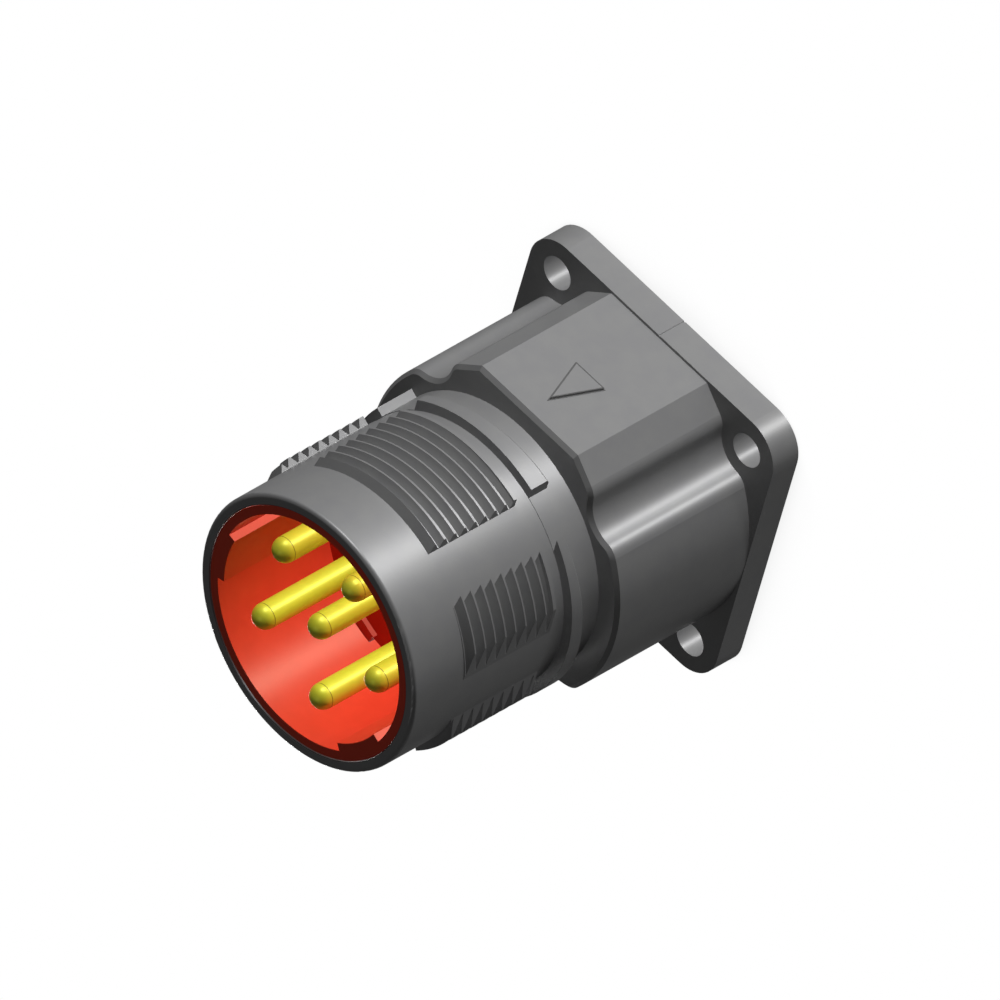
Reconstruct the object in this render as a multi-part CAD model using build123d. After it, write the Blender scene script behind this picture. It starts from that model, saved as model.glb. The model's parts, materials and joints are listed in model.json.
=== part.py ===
"""Flange receptacle of a circular power connector with an M23 thread.

Frame: the origin is the middle of the flange's rear face, which sits on the
panel. +Z is the mating axis and points out of the panel. The marked flat of
the body faces -Y. Lengths are millimetres, angles degrees about +Z from +X.
"""
from build123d import *
from math import atan, cos, degrees, pi, radians, sin
import os

# Flange and panel fastening
flange_side = 25.5
flange_thickness = 2.5
flange_corner = 3.0
screw_spacing = 20.0
screw_hole = 2.7
screw_head_space = 5.1
parting_line_width = 0.16
parting_line_depth = 0.08

# Body between the flange and the barrel
body_length = 13.05
screw_pocket_depth = 1.108
body_edge_fillet = 1.5
body_front_chamfer = 0.3
flat_distance = 12.5
flat_width = 10.1
facet_slope = 40.0
arrow_width = 2.95
arrow_length = 4.0
arrow_base_height = 6.85
arrow_relief = 0.2

# Barrel in front of the body
barrel_diameter = 21.6
barrel_length = 18.25
rim_fillet = 0.3
neck_relief = 0.06

# Lock ring behind the thread, whose rear edge climbs like a thread
lock_ring_diameter = 23.2
lock_ring_front_gap = 3.4
lock_ramp_gap = 2.0
lock_ramp_lead = 4.6
lock_ring_chamfer = 0.2

# Interrupted thread M23 x 1
thread_diameter = 23.0
thread_pitch = 1.0
thread_depth = 0.65
thread_crest = 0.125
thread_start = 4.8
thread_length = 8.55
thread_collar_length = 0.28
thread_front_taper = 0.5
thread_phase = 0.57
parting_flat_distance = 10.6
slot_near_wall = 4.62
slot_far_wall = 7.97
wide_slot_near_wall = 7.0
wide_slot_angle = -28.5

# Arcs that hold the lands, whose ends the slots cut off
stop_arc = (-30.0, 30.0)
top_arc = (243.0, 312.0)
side_arc = (188.0, 229.0)

# Bore of the shell
rear_bore = 20.6
front_bore = 19.9
shoulder_height = 14.2
bore_lead_in = 0.25
shell_key_width = 1.6
shell_key_height = 0.6
shell_key_angle = 90.0

# Retaining ring behind the insert
ring_groove_height = 1.6
ring_thickness = 1.0
ring_groove_depth = 0.7
ring_band = 1.55
ring_gap = 5.0
ring_ear_reach = 1.2
ring_ear_hole = 1.0

# Seals
panel_groove_inner = 22.0
panel_groove_width = 1.2
panel_groove_depth = 0.95
panel_seal_section = 0.88
seal_section_sides = 8
insert_groove_height = 16.3
insert_groove_width = 1.5
insert_groove_depth = 1.15
insert_seal_section = 1.12

# Insulating sleeve and its coding keys
sleeve_wall = 0.73
sleeve_recess = 0.1
key_reach = 0.62
key_angle = 1.5
key_width = 28.0
second_key_angle = 141.7
second_key_width = 30.4

# Contact carrier in two halves
split_height = 12.0
sleeve_seat_height = 21.4
carrier_nose_length = 1.5
index_lug_angle = 68.0
index_lug_width = 3.0
index_lug_height = 1.9
core_pocket_circle = 16.6
core_pocket_diameter = 2.4
core_pocket_depth = 5.0

# Contacts
outer_contacts = 5
contact_circle = 12.0
contact_turn = 36.0
pin_diameter = 2.0
shank_diameter = 2.4
pin_recess = 0.3
collar_diameter = 3.2
collar_length = 2.0
barrel_end_height = 1.2
crimp_diameter = 2.6
wire_hole = 1.8
wire_hole_depth = 6.5

# Clearances of the fits, each on the radius or on one side
insert_clearance = 0.1
sleeve_clearance = 0.05
contact_clearance = 0.05
seal_clearance = 0.02
key_clearance = 0.1

# Heights that follow from the lengths above
body_front = flange_thickness + body_length
rim_height = body_front + barrel_length
lock_ring_front = body_front + lock_ring_front_gap
land_rear = body_front + thread_start
thread_rear = land_rear + thread_collar_length
thread_front = land_rear + thread_length
socket_floor_height = sleeve_seat_height + carrier_nose_length
sleeve_front = rim_height - sleeve_recess
ring_front = ring_groove_height + ring_thickness

# Radii that follow
body_radius = screw_spacing / 2 ** 0.5 - screw_head_space / 2 + screw_pocket_depth
barrel_radius = barrel_diameter / 2
thread_radius = thread_diameter / 2
root_radius = thread_radius - thread_depth
sleeve_outer = front_bore / 2 - sleeve_clearance
sleeve_inner = sleeve_outer - sleeve_wall
carrier_radius = front_bore / 2 - insert_clearance
collar_radius = rear_bore / 2 - insert_clearance

base = (Align.CENTER, Align.CENTER, Align.MIN)


def disc(radius, low, high):
    """A cylinder about the mating axis between two heights."""
    return Pos(0, 0, low) * Cylinder(radius, high - low, align=base)


def tube(outer, inner, low, high):
    """A ring about the mating axis between two heights."""
    return disc(outer, low, high) - disc(inner, low, high)


def around(radius, angle):
    """The place at a radius and an angle, turned so that its X points outwards."""
    return Rot(0, 0, angle) * Pos(radius, 0, 0)


def sector(start, end, reach, low, high):
    """A wedge about the mating axis from one angle to another, under 180 degrees."""
    middle = (start + end) / 2
    half = (end - start) / 2
    far = 1.2 * reach / cos(radians(half))
    outline = Polyline(
        (0, 0),
        (far * cos(radians(middle - half)), far * sin(radians(middle - half))),
        (far * cos(radians(middle + half)), far * sin(radians(middle + half))),
        close=True,
    )
    return Pos(0, 0, low) * extrude(make_face(outline), high - low)


def contact_places():
    """The contact positions: one in the middle, the others on their circle."""
    places = {"contact_centre": Location()}
    for number in range(outer_contacts):
        angle = contact_turn + number * 360 / outer_contacts
        places[f"contact_{number + 1}"] = Rot(0, 0, angle) * Pos(contact_circle / 2, 0, 0)
    return places


def screw_places():
    """The four screw axes of the flange."""
    half = screw_spacing / 2
    return [Pos(x, y, 0) for x in (-half, half) for y in (-half, half)]


def flange():
    """The square flange with its screw holes and the parting line of the mould."""
    outline = RectangleRounded(flange_side, flange_side, flange_corner)
    plate = extrude(outline, flange_thickness)
    for place in screw_places():
        plate -= place * disc(screw_hole / 2, 0, flange_thickness)
    line = Box(parting_line_width, 2 * parting_line_depth, flange_thickness, align=base)
    for side in (-1, 1):
        plate -= Pos(0, side * flange_side / 2, 0) * line
    return plate


def body():
    """The round body with its marked flat and the room for the screw heads."""
    pocket = screw_head_space / 2
    half_flat = flat_width / 2
    run = screw_spacing / 2 - half_flat - pocket / 2
    drop = run * sin(radians(facet_slope)) / cos(radians(facet_slope))
    crown = Polyline(
        (-half_flat, -flat_distance),
        (half_flat, -flat_distance),
        (half_flat + run, drop - flat_distance),
        (half_flat, 0),
        (-half_flat, 0),
        (-half_flat - run, drop - flat_distance),
        close=True,
    )
    beyond_flat = Pos(0, -flat_distance) * Rectangle(
        2 * body_radius, 2 * body_radius, align=(Align.CENTER, Align.MAX))
    section = Circle(body_radius) - beyond_flat + make_face(crown)
    for place in screw_places():
        section -= place * Circle(pocket)
    block = Pos(0, 0, flange_thickness) * extrude(section, body_length)

    def beside_pocket(edge):
        spot = edge.center()
        half = screw_spacing / 2
        gap = ((abs(spot.X) - half) ** 2 + (abs(spot.Y) - half) ** 2) ** 0.5
        return abs(gap - pocket) < 0.01

    corners = block.edges().filter_by(Axis.Z).filter_by(beside_pocket)
    block = fillet(corners, body_edge_fillet)
    return chamfer(block.faces().sort_by(Axis.Z)[-1].edges(), body_front_chamfer)


def arrow():
    """The raised arrow on the flat, which points to the mating face."""
    bottom = flange_thickness + arrow_base_height
    outline = Polyline(
        (-arrow_width / 2, bottom),
        (arrow_width / 2, bottom),
        (0, bottom + arrow_length),
        close=True,
    )
    face = Plane.XZ.offset(flat_distance - arrow_relief) * make_face(outline)
    return extrude(face, 2 * arrow_relief)


def leaning(start, end, height, lead, ring):
    """A ring set at a height so that it follows a helix over a short arc.

    Over the arc a helix is close to a ring that leans by the lead angle about
    the radius through the arc's middle.
    """
    lean = degrees(atan(lead / (2 * pi * thread_radius)))
    return Rot(0, 0, (start + end) / 2) * Pos(0, 0, height) * Rot(lean, 0, 0) * ring


def thread_land(start, end):
    """One land of the interrupted thread, with the plain collar at its rear."""
    core = barrel_radius - thread_depth
    flank = thread_depth * 0.577
    root = thread_pitch - thread_crest - 2 * flank
    turns = int(thread_length / thread_pitch) + 3
    points = [(core, -thread_pitch)]
    for turn in range(turns):
        low = (turn - 1) * thread_pitch
        points.append((root_radius, low))
        points.append((root_radius, low + root))
        points.append((thread_radius, low + root + flank))
        points.append((thread_radius, low + root + flank + thread_crest))
    points.append((root_radius, (turns - 1) * thread_pitch))
    points.append((core, (turns - 1) * thread_pitch))
    ridges = revolve(make_face(Plane.XZ * Polyline(*points, close=True)), Axis.Z)
    rise = thread_pitch * ((start + end) / 2 % 360 / 360 + thread_phase)
    ridges = leaning(start, end, thread_rear + rise - thread_pitch, thread_pitch, ridges)
    limit = make_face(Plane.XZ * Polyline(
        (0, thread_rear),
        (thread_radius, thread_rear),
        (thread_radius, thread_front - thread_front_taper),
        (barrel_radius, thread_front),
        (0, thread_front),
        close=True,
    ))
    land = (ridges & revolve(limit, Axis.Z)) + disc(thread_radius, land_rear, thread_rear)
    return land & sector(start, end, thread_radius, land_rear, thread_front)


def lock_land(start, end):
    """One land of the lock ring, with the ramp along its rear edge."""
    radius = lock_ring_diameter / 2
    beyond = lock_ring_front_gap
    profile = make_face(Plane.XZ * Polyline(
        (0, 0),
        (radius - lock_ring_chamfer, 0),
        (radius - lock_ring_chamfer + beyond, beyond),
        (0, beyond),
        close=True,
    ))
    ramp = leaning(start, end, body_front + lock_ramp_gap, lock_ramp_lead, revolve(profile, Axis.Z))
    return ramp & disc(radius, body_front, lock_ring_front) & sector(start, end, radius, body_front, lock_ring_front)


def slots():
    """The lengthwise slots and flats that interrupt the thread and the lock ring."""
    low = body_front
    high = thread_front
    reach = lock_ring_diameter / 2
    narrow = Box(slot_far_wall - slot_near_wall, reach, high - low, align=(Align.MIN, Align.MIN, Align.MIN))
    narrow = Pos(-slot_far_wall, 0, low) * narrow
    wide = sector(wide_slot_angle - 75, wide_slot_angle, 1.5 * reach, low, high)
    wide -= Pos(wide_slot_near_wall, 0, low) * Box(
        4 * reach, 4 * reach, high - low, align=(Align.MAX, Align.CENTER, Align.MIN))
    upper = mirror(narrow, Plane.XZ) + wide
    flat = Box(reach, 2 * reach, thread_length, align=(Align.MIN, Align.CENTER, Align.MIN))
    flat = Pos(parting_flat_distance, 0, land_rear) * flat
    cut = upper + mirror(upper, Plane.XZ) + flat + mirror(flat, Plane.YZ)
    return cut - disc(barrel_radius, low, high)


def barrel():
    """The barrel with its lock ring and the lands of the interrupted thread.

    The land opposite the narrow slots is the stop, plain and full from the
    body on. The others stand in pairs on both sides of the XZ plane.
    """
    tubular = disc(barrel_radius, body_front, rim_height)
    rim = tubular.faces().sort_by(Axis.Z)[-1].edges()
    tubular = fillet(rim, rim_fillet)
    tubular -= tube(thread_radius, barrel_radius - neck_relief, lock_ring_front, land_rear)
    under_arc = (-top_arc[1], -top_arc[0])
    lower_arc = (360 - side_arc[1], 360 - side_arc[0])
    lands = [thread_land(*arc) for arc in (stop_arc, top_arc, under_arc, side_arc, lower_arc)]
    lands += [lock_land(*arc) for arc in (top_arc, under_arc, (lower_arc[0], side_arc[1]))]
    stop = disc(thread_radius, body_front, lock_ring_front)
    lands.append(stop & sector(*stop_arc, thread_radius, body_front, lock_ring_front))
    gaps = slots()
    for land in lands:
        tubular += land - gaps
    return tubular


def bore():
    """What is cut from the shell: the stepped bore and the two ring grooves."""
    shell_key = around(rear_bore / 2, shell_key_angle) * Pos(0, 0, ring_front + ring_thickness) * Box(
        2 * shell_key_height,
        shell_key_width,
        shoulder_height - ring_front - ring_thickness,
        align=base,
    )
    cut = disc(rear_bore / 2, 0, shoulder_height) - shell_key
    cut += disc(front_bore / 2, shoulder_height, rim_height)
    lead_in = Cone(rear_bore / 2 + bore_lead_in, rear_bore / 2, bore_lead_in, align=base)
    cut += lead_in
    cut += disc(rear_bore / 2 + ring_groove_depth, ring_groove_height, ring_front)
    outer = panel_groove_inner / 2 + panel_groove_width
    return cut + tube(outer, panel_groove_inner / 2, 0, panel_groove_depth)


def shell():
    """The cast shell: flange, body and threaded barrel in one piece."""
    return flange() + body() + arrow() + barrel() - bore()


def insulating_sleeve():
    """The sleeve that lines the barrel, with its two coding keys."""
    sleeve = tube(sleeve_outer, sleeve_inner, sleeve_seat_height, sleeve_front)
    keys = tube(sleeve_inner + sleeve_wall / 2, sleeve_inner - key_reach, socket_floor_height, sleeve_front)
    for middle, width in ((key_angle, key_width), (second_key_angle, second_key_width)):
        wedge = sector(
            middle - width / 2, middle + width / 2, front_bore / 2, socket_floor_height, sleeve_front)
        sleeve += keys & wedge
    notch = Box(
        4 * sleeve_wall,
        index_lug_width + 2 * key_clearance,
        index_lug_height + key_clearance,
        align=base,
    )
    return sleeve - around(sleeve_inner, index_lug_angle) * Pos(0, 0, sleeve_seat_height) * notch


def key_slot(low, high):
    """The slot in the insert that slides along the shell's key."""
    slot = Box(
        2 * (shell_key_height + key_clearance),
        shell_key_width + 2 * key_clearance,
        high - low,
        align=base,
    )
    return around(rear_bore / 2, shell_key_angle) * Pos(0, 0, low) * slot


def contact_carrier():
    """The front half of the insert, which closes the socket with its floor."""
    nose = sleeve_inner - sleeve_clearance
    carrier = disc(collar_radius, split_height, shoulder_height)
    carrier += disc(carrier_radius, shoulder_height, sleeve_seat_height)
    carrier += disc(nose, sleeve_seat_height, socket_floor_height)
    lug = Box(2 * sleeve_wall, index_lug_width, index_lug_height, align=base)
    lug = around(nose, index_lug_angle) * Pos(0, 0, sleeve_seat_height) * lug
    carrier += lug & disc(carrier_radius, sleeve_seat_height, rim_height)
    groove_bottom = front_bore / 2 - insert_groove_depth
    carrier -= tube(
        front_bore / 2, groove_bottom, insert_groove_height, insert_groove_height + insert_groove_width)
    carrier -= key_slot(split_height, shoulder_height)
    hole = disc(shank_diameter / 2 + contact_clearance, split_height, socket_floor_height)
    hole += disc(collar_diameter / 2 + contact_clearance, split_height, split_height + collar_length)
    for place in contact_places().values():
        carrier -= place * hole
    return carrier


def carrier_clamp():
    """The rear half of the insert, which traps the collars of the contacts."""
    clamp = disc(collar_radius, ring_front, split_height)
    clamp -= key_slot(ring_front, split_height)
    hole = disc(crimp_diameter / 2 + contact_clearance, ring_front, split_height)
    for place in contact_places().values():
        clamp -= place * hole
    pocket = disc(core_pocket_diameter / 2, ring_front, ring_front + core_pocket_depth)
    for number in range(outer_contacts):
        angle = contact_turn + (number + 0.5) * 360 / outer_contacts
        clamp -= around(core_pocket_circle / 2, angle) * pocket
    return clamp


def contact():
    """A turned pin contact: domed pin, shank, collar and crimp barrel."""
    tip = sleeve_front - pin_recess - pin_diameter / 2
    pin = disc(pin_diameter / 2, split_height, tip)
    pin += Pos(0, 0, tip) * Sphere(pin_diameter / 2)
    pin += disc(shank_diameter / 2, split_height, socket_floor_height)
    pin += disc(collar_diameter / 2, split_height, split_height + collar_length)
    pin += disc(crimp_diameter / 2, barrel_end_height, split_height)
    return pin - disc(wire_hole / 2, barrel_end_height, barrel_end_height + wire_hole_depth)


def retaining_ring():
    """The spring ring that holds the insert in the shell."""
    outer = rear_bore / 2 + ring_groove_depth - seal_clearance
    inner = outer - ring_band
    ring = tube(outer, inner, ring_groove_height, ring_front)
    ears = tube(inner + ring_band / 2, inner - ring_ear_reach, ring_groove_height, ring_front)
    half_gap = degrees(ring_gap / 2 / outer)
    ear_turn = degrees(2 * ring_ear_hole / inner)
    gap_angle = shell_key_angle
    ring += ears & sector(
        gap_angle - half_gap - ear_turn, gap_angle + half_gap + ear_turn, outer, ring_groove_height, ring_front)
    ring -= sector(gap_angle - half_gap, gap_angle + half_gap, 2 * outer, ring_groove_height, ring_front)
    hole = disc(ring_ear_hole / 2, ring_groove_height, ring_front)
    for side in (-1, 1):
        ring -= around(inner - ring_ear_reach / 3, gap_angle + side * (half_gap + ear_turn / 2)) * hole
    return ring


def o_ring(centre_radius, section, height):
    """A seal about the mating axis, whose round section is drawn with a few flats."""
    outline = Pos(centre_radius, height) * RegularPolygon(section / 2, seal_section_sides)
    return revolve(Plane.XZ * outline, Axis.Z)


def insert_seal():
    """The ring between the insert and the bore."""
    room = insert_groove_depth
    return o_ring(front_bore / 2 - room / 2, insert_seal_section, insert_groove_height + insert_groove_width / 2)


def panel_seal():
    """The ring in the rear face, pressed level with it by the panel."""
    return o_ring(
        panel_groove_inner / 2 + panel_groove_width / 2,
        panel_seal_section,
        panel_seal_section / 2 + seal_clearance,
    )


def all_parts():
    """Every piece of the receptacle by its name."""
    parts = {
        "shell": shell(),
        "insulating_sleeve": insulating_sleeve(),
        "contact_carrier": contact_carrier(),
        "carrier_clamp": carrier_clamp(),
        "retaining_ring": retaining_ring(),
        "insert_seal": insert_seal(),
        "panel_seal": panel_seal(),
    }
    turned = contact()
    for name, place in contact_places().items():
        parts[name] = place * turned
    return parts


def main():
    os.makedirs("parts", exist_ok=True)
    for name, piece in all_parts().items():
        export_step(piece, f"parts/{name}.step")


if __name__ == "__main__":
    main()
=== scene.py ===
"""Looks of the circular connector receptacle: finishes, smooth seals, arrow lines of painted shade,
light and camera.

Metres, in the frame of the solids: the origin is the middle of the flange's
rear face, +Z is the mating axis and the body's marked flat faces -Y.
"""
import bmesh
import bpy
import json
from math import cos, radians, sin
from mathutils import Matrix, Vector


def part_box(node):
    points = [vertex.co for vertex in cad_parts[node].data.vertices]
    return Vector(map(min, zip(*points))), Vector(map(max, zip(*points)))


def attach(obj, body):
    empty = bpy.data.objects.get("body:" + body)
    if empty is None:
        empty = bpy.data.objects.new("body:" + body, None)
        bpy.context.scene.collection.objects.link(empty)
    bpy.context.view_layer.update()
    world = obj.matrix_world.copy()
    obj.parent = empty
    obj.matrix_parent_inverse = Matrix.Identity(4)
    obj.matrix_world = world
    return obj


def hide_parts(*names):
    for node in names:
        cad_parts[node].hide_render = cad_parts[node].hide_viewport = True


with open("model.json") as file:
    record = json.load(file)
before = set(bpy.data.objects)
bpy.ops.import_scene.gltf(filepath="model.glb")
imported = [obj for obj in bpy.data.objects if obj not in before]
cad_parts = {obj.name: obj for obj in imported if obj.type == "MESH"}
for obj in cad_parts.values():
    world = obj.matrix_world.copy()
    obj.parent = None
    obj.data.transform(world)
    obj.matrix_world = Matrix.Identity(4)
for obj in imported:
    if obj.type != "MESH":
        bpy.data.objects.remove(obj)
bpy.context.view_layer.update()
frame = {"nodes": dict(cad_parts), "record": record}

MM = 0.001
FLANGE_FRONT = 2.5 * MM

# Where a pin's dome begins, and the width of the line that the turning tool leaves there
PIN_RADIUS = 1.0 * MM
DOME_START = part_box("contact_centre")[1].z - PIN_RADIUS
TURNING_LINE = 0.07 * MM

# Just past the wall of the front bore, so that the painted shade covers the wall alone and not the
# barrel's front face
BORE_EDGE = 9.97 * MM

# Points round a seal, and round its section
RING_POINTS = 160
SECTION_POINTS = 24

# The raised arrow on the flat, and the fine line of painted shade along its edge and foot
FLAT_DISTANCE = 12.5 * MM
ARROW_RELIEF = 0.2 * MM
ARROW_WIDTH = 2.95 * MM
ARROW_BASE = FLANGE_FRONT + 6.85 * MM
ARROW_LENGTH = 4.0 * MM
LINE_WIDTH = 0.09 * MM
LINE_PROUD = 0.01 * MM

# The floor's half side, and how far the soft shadow reaches from the part
FLOOR_HALF = 1500 * MM
SHADOW_REACH = 30 * MM

# The photograph's camera has no perspective, so its scale says how much it sees
PHOTO_SIDE = 1000
PIXELS_PER_METRE = 14.135 / MM
PHOTO_RIGHT = Vector((-0.6703, -0.2002, -0.7145))
PHOTO_UP = Vector((0.6272, -0.6675, -0.4011))
FLANGE_CENTRE_PIXEL = (623.7, 455.9)
CAMERA_DISTANCE = 200 * MM


def linear(hex_colour):
    """An sRGB hex colour as linear red, green, blue and alpha."""
    parts = [int(hex_colour[i:i + 2], 16) / 255 for i in (1, 3, 5)]
    return [c / 12.92 if c <= 0.04045 else ((c + 0.055) / 1.055) ** 2.4 for c in parts] + [1.0]


def add(tree, kind, inputs=None, **settings):
    """Adds a node with its settings; an input takes a value or the socket that feeds it."""
    made = tree.nodes.new(kind)
    for name, value in settings.items():
        setattr(made, name, value)
    for name, value in (inputs or {}).items():
        if isinstance(value, bpy.types.NodeSocket):
            tree.links.new(value, made.inputs[name])
        else:
            made.inputs[name].default_value = value
    return made


def new_material(name):
    """An empty node material; returns it with its tree."""
    material = bpy.data.materials.new(name)
    material.use_nodes = True
    tree = material.node_tree
    tree.nodes.clear()
    return material, tree


def two_tone(tree, factor, low, high):
    """A blend from one hex colour to another, as a factor crosses its middle third."""
    share = add(tree, "ShaderNodeMapRange", {"Value": factor, "From Min": 0.35, "From Max": 0.65})
    colours = {"Fac": share.outputs["Result"], "Color1": linear(low), "Color2": linear(high)}
    return add(tree, "ShaderNodeMixRGB", colours).outputs["Color"]


def mottle(tree, place, patch, low, high):
    """A tone that drifts between two hex colours, in patches of about the given size."""
    noise = add(tree, "ShaderNodeTexNoise", {"Vector": place, "Scale": 1 / patch, "Detail": 2.0})
    return two_tone(tree, noise.outputs["Fac"], low, high)


def skin_normal(tree, place, grain, strength):
    """The normal of a fine skin, with grains of about the given size."""
    noise = add(tree, "ShaderNodeTexNoise", {"Vector": place, "Scale": 1 / grain, "Detail": 2.0})
    skin = {"Height": noise.outputs["Fac"], "Strength": strength, "Distance": 0.02 * MM}
    return add(tree, "ShaderNodeBump", skin).outputs["Normal"]


def finish_surface(tree, settings):
    """The end of a finish's tree: its principled shader, joined to the output."""
    shader = add(tree, "ShaderNodeBsdfPrincipled", settings)
    add(tree, "ShaderNodeOutputMaterial", {"Surface": shader.outputs["BSDF"]})


def plated_zinc_casting():
    """Zinc die casting with satin nickel plate: an even mid grey with a soft, broad highlight.

    The wall of the front bore is coloured dark grey: painted shade that shows as a
    dark edge round the sleeve. The cast skin's grains are drawn coarser than
    the real ones, so that they show.
    """
    material, tree = new_material("plated_zinc_casting")
    place = add(tree, "ShaderNodeTexCoord").outputs["Object"]
    plate = mottle(tree, place, 1.5 * MM, "#8A8A8B", "#8D8D8D")
    # Painted shade: inside BORE_EDGE the wall of the front bore is coloured dark grey
    across = add(tree, "ShaderNodeVectorMath", {0: place, 1: (1, 1, 0)}, operation="MULTIPLY")
    off_axis = add(tree, "ShaderNodeVectorMath", {0: across.outputs[0]}, operation="LENGTH")
    edge = {0: off_axis.outputs["Value"], 1: BORE_EDGE}
    bore_shade_mask = add(tree, "ShaderNodeMath", edge, operation="LESS_THAN")
    bore_painted_shade = {"Fac": bore_shade_mask.outputs[0], "Color1": plate, "Color2": linear("#2A2A2B")}
    finish_surface(tree, {
        "Base Color": add(tree, "ShaderNodeMixRGB", bore_painted_shade).outputs["Color"],
        "Metallic": 0.3,
        "Roughness": 0.45,
        "Normal": skin_normal(tree, place, 0.12 * MM, 0.06),
    })
    return material


def arrow_line_painted_shade():
    """A darker grey plating for the line along the arrow's edge and foot: painted shade of the arrow's
    small walls and the crease at its foot.
    """
    material, tree = new_material("arrow_line_painted_shade")
    place = add(tree, "ShaderNodeTexCoord").outputs["Object"]
    plate = mottle(tree, place, 0.3 * MM, "#565656", "#5E5E5E")
    finish_surface(tree, {"Base Color": plate, "Metallic": 0.3, "Roughness": 0.6})
    return material


def moulded_red_polyamide(name, low, high, gloss):
    """Glass-filled polyamide, injection moulded: orange red with a soft gloss that stays warm.

    The mould's grains are drawn coarser than the real ones, so that they show.
    """
    material, tree = new_material(name)
    place = add(tree, "ShaderNodeTexCoord").outputs["Object"]
    finish_surface(tree, {
        "Base Color": mottle(tree, place, 1.2 * MM, low, high),
        "Roughness": 0.42,
        "Specular IOR Level": gloss,
        "Specular Tint": linear("#FFE2C4"),
        "Normal": skin_normal(tree, place, 0.08 * MM, 0.05),
    })
    return material


def gold_plated_brass():
    """Turned brass, gold plated: bright yellow, with the fine turning line where each dome begins."""
    material, tree = new_material("gold_plated_brass")
    place = add(tree, "ShaderNodeTexCoord").outputs["Object"]
    plate = mottle(tree, place, 0.8 * MM, "#DAE038", "#E0E63C")
    height = add(tree, "ShaderNodeSeparateXYZ", {0: place}).outputs["Z"]
    line = {0: height, 1: DOME_START, 2: TURNING_LINE / 2}
    on_line = add(tree, "ShaderNodeMath", line, operation="COMPARE")
    scored = {"Fac": on_line.outputs[0], "Color1": plate, "Color2": linear("#8A8A20")}
    finish_surface(tree, {
        "Base Color": add(tree, "ShaderNodeMixRGB", scored).outputs["Color"],
        "Metallic": 0.25,
        "Roughness": 0.45,
    })
    return material


def spring_steel():
    """Stamped spring steel, barrel finished: dark grey with a dull gleam."""
    material, tree = new_material("spring_steel")
    place = add(tree, "ShaderNodeTexCoord").outputs["Object"]
    tone = mottle(tree, place, 0.5 * MM, "#7C7D80", "#8A8B8E")
    finish_surface(tree, {"Base Color": tone, "Metallic": 1.0, "Roughness": 0.35})
    return material


def moulded_rubber():
    """Moulded nitrile rubber: near black and matt."""
    material, tree = new_material("moulded_rubber")
    place = add(tree, "ShaderNodeTexCoord").outputs["Object"]
    tone = mottle(tree, place, 0.3 * MM, "#1A1A1B", "#222223")
    finish_surface(tree, {"Base Color": tone, "Roughness": 0.65})
    return material


def dress_nodes(finishes, carrier_shaded_finish):
    """Gives every solid the finish of its material slot, and the contact carrier a darker copy of its
    red as painted shade.
    """
    for entry in frame["record"]["subparts"]:
        node = frame["nodes"][entry["node"]]
        node.data.materials.clear()
        node.data.materials.append(finishes[entry["material_slot"]])
    frame["nodes"]["contact_carrier"].data.materials[0] = carrier_shaded_finish


def new_piece(name, mesh):
    """A finished piece of the object from its mesh, riding on the one body."""
    piece = bpy.data.objects.new(name, mesh)
    bpy.context.scene.collection.objects.link(piece)
    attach(piece, "root")
    return piece


def turn_faces_out(mesh):
    """Turns the faces of a closed mesh outwards."""
    shape = bmesh.new()
    shape.from_mesh(mesh)
    bmesh.ops.recalc_face_normals(shape, faces=shape.faces)
    shape.to_mesh(mesh)
    shape.free()


def seal_tree():
    """The node tree of a ring seal: a round section carried once about the mating axis."""
    tree = bpy.data.node_groups.new("seal_ring", "GeometryNodeTree")
    sockets = tree.interface
    for name in ("Ring radius", "Section radius", "Height"):
        sockets.new_socket(name, in_out="INPUT", socket_type="NodeSocketFloat").subtype = "DISTANCE"
    sockets.new_socket("Rubber", in_out="INPUT", socket_type="NodeSocketMaterial")
    sockets.new_socket("Geometry", in_out="OUTPUT", socket_type="NodeSocketGeometry")
    given = add(tree, "NodeGroupInput").outputs
    lift = add(tree, "ShaderNodeCombineXYZ", {"Z": given["Height"]}).outputs[0]
    ring = {"Resolution": RING_POINTS, "Radius": given["Ring radius"]}
    path = add(tree, "GeometryNodeCurvePrimitiveCircle", ring).outputs[0]
    raised = add(tree, "GeometryNodeTransform", {"Geometry": path, "Translation": lift}).outputs[0]
    round_bar = {"Resolution": SECTION_POINTS, "Radius": given["Section radius"]}
    section = add(tree, "GeometryNodeCurvePrimitiveCircle", round_bar).outputs[0]
    skin = add(tree, "GeometryNodeCurveToMesh", {"Curve": raised, "Profile Curve": section}).outputs[0]
    smooth = add(tree, "GeometryNodeSetShadeSmooth", {"Geometry": skin}).outputs[0]
    real = add(tree, "GeometryNodeRealizeInstances", {"Geometry": smooth}).outputs[0]
    dressed = add(tree, "GeometryNodeSetMaterial", {"Geometry": real, "Material": given["Rubber"]})
    add(tree, "NodeGroupOutput", {"Geometry": dressed.outputs[0]})
    return tree


def smooth_seal(node_name, tree, rubber):
    """A smooth ring in place of a seal's solid, with its sizes taken from the solid's box."""
    low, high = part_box(node_name)
    section = (high.z - low.z) / 2
    sizes = {
        "Ring radius": high.x - section,
        "Section radius": section,
        "Height": low.z + section,
        "Rubber": rubber,
    }
    maker = bpy.data.objects.new("seal_maker", bpy.data.meshes.new("seal_maker"))
    bpy.context.scene.collection.objects.link(maker)
    modifier = maker.modifiers.new("ring", "NODES")
    modifier.node_group = tree
    for item in tree.interface.items_tree:
        if item.in_out == "INPUT":
            modifier[item.identifier] = sizes[item.name]
    made = maker.evaluated_get(bpy.context.evaluated_depsgraph_get())
    mesh = bpy.data.meshes.new_from_object(made)
    bpy.data.objects.remove(maker)
    turn_faces_out(mesh)
    mesh.name = node_name + "_smooth"
    piece = new_piece(node_name + "_smooth", mesh)
    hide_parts(node_name)


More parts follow.
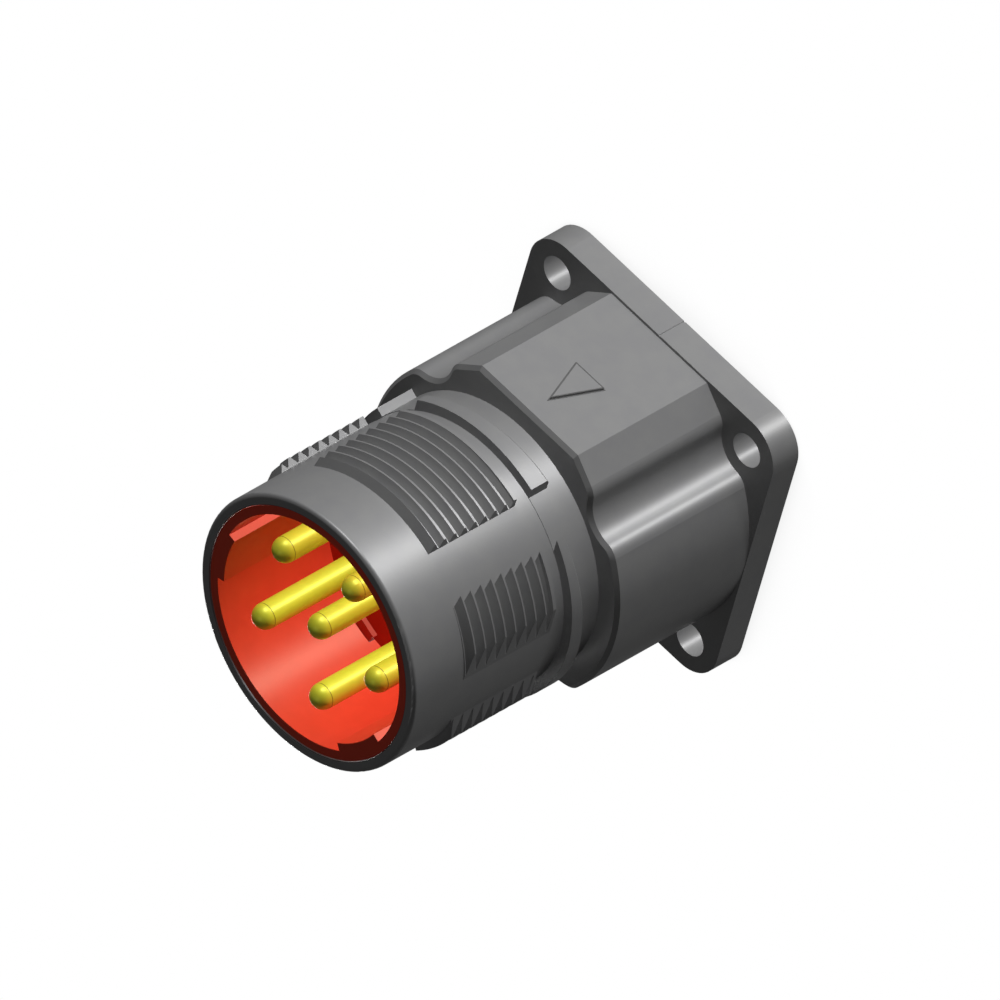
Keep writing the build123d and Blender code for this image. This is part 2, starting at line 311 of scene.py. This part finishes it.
def arrow_corners(grown):
    """The arrow's corners across and up the flat, with each side moved outwards."""
    half = ARROW_WIDTH / 2
    slant = (half * half + ARROW_LENGTH * ARROW_LENGTH) ** 0.5
    tip_shift = grown * slant / half
    base_shift = grown * (slant + half) / ARROW_LENGTH
    bottom = ARROW_BASE - grown
    return [
        (-half - base_shift, bottom),
        (half + base_shift, bottom),
        (0, ARROW_BASE + ARROW_LENGTH + tip_shift),
    ]


def arrow_line(name, inner, outer, level, finish):
    """A closed line round the arrow, between two outlines, standing just proud of a level."""
    points = [(x, -level - proud, z)
              for proud in (0, LINE_PROUD)
              for grown in (inner, outer)
              for x, z in arrow_corners(grown)]
    faces = []
    for side in range(3):
        after = (side + 1) % 3
        under_in, under_out, top_in, top_out = [(side + 3 * ring, after + 3 * ring) for ring in range(4)]
        faces.append((top_in[0], top_in[1], top_out[1], top_out[0]))
        faces.append((under_in[1], under_in[0], under_out[0], under_out[1]))
        faces.append((under_out[1], under_out[0], top_out[0], top_out[1]))
        faces.append((under_in[0], under_in[1], top_in[1], top_in[0]))
    mesh = bpy.data.meshes.new(name)
    mesh.from_pydata(points, [], faces)
    turn_faces_out(mesh)
    mesh.materials.append(finish)
    new_piece(name, mesh)


def seen_share(tree, mirrored):
    """How much of the white surround a ray sees.

    The camera and rays through glass see all of it, and reflections the share
    given, which is small because the photographed part mirrors nothing.
    """
    rays = add(tree, "ShaderNodeLightPath").outputs
    glossy = add(tree, "ShaderNodeMath", {0: rays["Is Glossy Ray"], 1: mirrored}, operation="MULTIPLY")
    clear = {0: rays["Is Transmission Ray"], 1: glossy.outputs[0]}
    through = add(tree, "ShaderNodeMath", clear, operation="MAXIMUM")
    straight = {0: rays["Is Camera Ray"], 1: through.outputs[0]}
    return add(tree, "ShaderNodeMath", straight, operation="MAXIMUM").outputs[0]


def lay_floor():
    """The pale plain floor that the flange stands on.

    The camera sees it white but for the soft shadow round the foot of the
    part, and reflections see a faint share of it.
    """
    mesh = bpy.data.meshes.new("floor")
    corners = [(x * FLOOR_HALF, y * FLOOR_HALF, 0) for x, y in ((-1, -1), (1, -1), (1, 1), (-1, 1))]
    mesh.from_pydata(corners, [], [(0, 1, 2, 3)])
    floor = bpy.data.objects.new("floor", mesh)
    bpy.context.scene.collection.objects.link(floor)
    material, tree = new_material("pale_studio_floor")
    shadow = add(tree, "ShaderNodeAmbientOcclusion", {"Distance": SHADOW_REACH}, samples=16)
    tone = two_tone(tree, shadow.outputs["AO"], "#E4E4E4", "#FFFFFF")
    matt = add(tree, "ShaderNodeBsdfDiffuse", {"Color": linear("#F2F2F2")}).outputs[0]
    white = add(tree, "ShaderNodeEmission", {"Color": tone, "Strength": 1.0}).outputs[0]
    mixed = add(tree, "ShaderNodeMixShader", {0: seen_share(tree, 0.1), 1: matt, 2: white})
    add(tree, "ShaderNodeOutputMaterial", {"Surface": mixed.outputs[0]})
    mesh.materials.append(material)


def lamp(name, turn, height, softness, power):
    """A distant lamp.

    It shines from a turn in degrees about the mating axis and a height from
    -1 to 1, and its disc is as many degrees wide as its softness. It throws no
    shadow, so that the pins and the rim leave none in the sleeve, as in the
    photograph.
    """
    across = (1 - height * height) ** 0.5
    towards = Vector((across * cos(radians(turn)), across * sin(radians(turn)), height))
    light = bpy.data.lights.new(name, "SUN")
    light.angle = radians(softness)
    light.energy = power
    light.use_shadow = False
    holder = bpy.data.objects.new(name, light)
    holder.rotation_mode = "QUATERNION"
    holder.rotation_quaternion = towards.to_track_quat("Z", "Y")
    bpy.context.scene.collection.objects.link(holder)


def light_scene():
    """A key by the marked flat, a low lamp for the highlight, two fills and a dim white surround.

    The first fill lights what faces along the mating axis, and the second the
    side that the photograph doesn't show.
    """
    lamp("key_lamp", turn=285.0, height=0.0, softness=6, power=1.9)
    lamp("highlight_lamp", turn=259.0, height=-0.573, softness=3, power=1.5)
    lamp("face_lamp", turn=0.0, height=1.0, softness=10, power=0.13)
    lamp("far_side_lamp", turn=61.0, height=-0.5, softness=6, power=1.5)
    world = bpy.data.worlds.new("surround")
    world.use_nodes = True
    tree = world.node_tree
    tree.nodes.clear()
    dim = add(tree, "ShaderNodeBackground", {"Color": linear("#FFFFFF"), "Strength": 0.035}).outputs[0]
    white = add(tree, "ShaderNodeBackground", {"Color": linear("#FFFFFF"), "Strength": 1.0}).outputs[0]
    mixed = add(tree, "ShaderNodeMixShader", {0: seen_share(tree, 0.01), 1: dim, 2: white})
    add(tree, "ShaderNodeOutputWorld", {"Surface": mixed.outputs[0]})
    bpy.context.scene.world = world


def place_camera():
    """The photograph's view: parallel, turned so that the mating face points down to the left."""
    camera = bpy.data.cameras.new("photo_camera")
    camera.type = "ORTHO"
    camera.ortho_scale = PHOTO_SIDE / PIXELS_PER_METRE
    camera.clip_start = 1 * MM
    camera.clip_end = 3000 * MM
    back = PHOTO_RIGHT.cross(PHOTO_UP).normalized()
    shift_right = (PHOTO_SIDE / 2 - FLANGE_CENTRE_PIXEL[0]) / PIXELS_PER_METRE
    shift_up = (FLANGE_CENTRE_PIXEL[1] - PHOTO_SIDE / 2) / PIXELS_PER_METRE
    middle = Vector((0, 0, FLANGE_FRONT)) + PHOTO_RIGHT * shift_right + PHOTO_UP * shift_up
    holder = bpy.data.objects.new("photo_camera", camera)
    holder.location = middle + back * CAMERA_DISTANCE
    holder.rotation_mode = "QUATERNION"
    holder.rotation_quaternion = Matrix((PHOTO_RIGHT, PHOTO_UP, back)).transposed().to_quaternion()
    bpy.context.scene.collection.objects.link(holder)
    bpy.context.scene.camera = holder


finishes = {
    "shell": plated_zinc_casting(),
    "insulator": moulded_red_polyamide("moulded_red_polyamide", "#D03C26", "#D43E28", gloss=0.45),
    "contact": gold_plated_brass(),
    "spring_steel": spring_steel(),
    "seal": moulded_rubber(),
}
# Painted shade: the contact carrier, deep in the socket, takes a darker copy of the sleeve's red with
# less gloss
carrier_shaded_red = moulded_red_polyamide("moulded_red_polyamide_painted_shade", "#A62A1C", "#AC2C1E", gloss=0.15)
dress_nodes(finishes, carrier_shaded_red)
ring_seal = seal_tree()
for seal in ("panel_seal", "insert_seal"):
    smooth_seal(seal, ring_seal, finishes["seal"])
# Painted shade: thin dark grey strips along the arrow's edge and at its foot
arrow_shade_finish = arrow_line_painted_shade()
arrow_line("arrow_edge_shade_line", -LINE_WIDTH, 0, FLAT_DISTANCE + ARROW_RELIEF, arrow_shade_finish)
arrow_line("arrow_foot_shade_line", 0, LINE_WIDTH, FLAT_DISTANCE, arrow_shade_finish)
lay_floor()
light_scene()
place_camera()
bpy.context.scene.view_settings.view_transform = "Standard"
